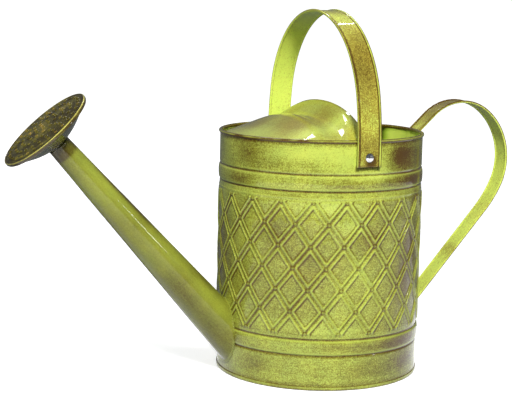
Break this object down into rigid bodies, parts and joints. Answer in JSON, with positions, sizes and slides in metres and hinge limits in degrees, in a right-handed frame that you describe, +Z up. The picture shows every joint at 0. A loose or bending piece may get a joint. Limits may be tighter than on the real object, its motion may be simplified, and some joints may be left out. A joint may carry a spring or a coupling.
{
  "type": "watering can",
  "caption": "Round painted sheet-metal watering can with a half hood, straight spout with a flared rose, swinging bail handle and fixed looped rear handle.",
  "frame": {"origin": "centre of the base on the floor, on the axis of the round body", "axes": "+Z up along the body's axis; the spout points along -X, the rear handle along +X; the bail turns about Y"},
  "size_m": [0.5269, 0.2134, 0.3563],
  "materials": {
    "leaf_paint": "glossy leaf-green paint, antiqued with brown glaze",
    "bronze_paint": "dark bronze-green paint",
    "rivet_steel": "polished",
    "zinc_steel": "zinc plated"
  },
  "bodies": {
    "can": {"body_shell": "leaf_paint", "rim_wire": "zinc_steel", "base_plate": "leaf_paint", "hood": "leaf_paint", "spout_tube": "leaf_paint", "spout_solder": "leaf_paint", "bail_rivet_left": "rivet_steel", "bail_rivet_right": "rivet_steel", "bail_spacer_left": "zinc_steel", "bail_spacer_right": "zinc_steel", "bail_washer_left": "zinc_steel", "bail_washer_right": "zinc_steel", "rear_handle": "leaf_paint", "handle_rivet_upper": "rivet_steel", "handle_rivet_lower": "rivet_steel", "handle_washer_upper": "zinc_steel", "handle_washer_lower": "zinc_steel"},
    "bail": {"bail_strap": "leaf_paint"},
    "rose": {"rose_neck": "leaf_paint", "rose_cone": "leaf_paint", "rose_face": "bronze_paint"}
  },
  "joints": [
    {"name": "bail_swing", "type": "hinge", "parent": "can", "child": "bail", "pos_m": [0, 0, 0.222], "axis": [0, 1, 0], "range_deg": [-122, 66]},
    {"name": "rose_pull", "type": "slide", "parent": "can", "child": "rose", "axis": [-0.6678, 0, 0.7443], "range_m": [0, 0.045]}
  ]
}
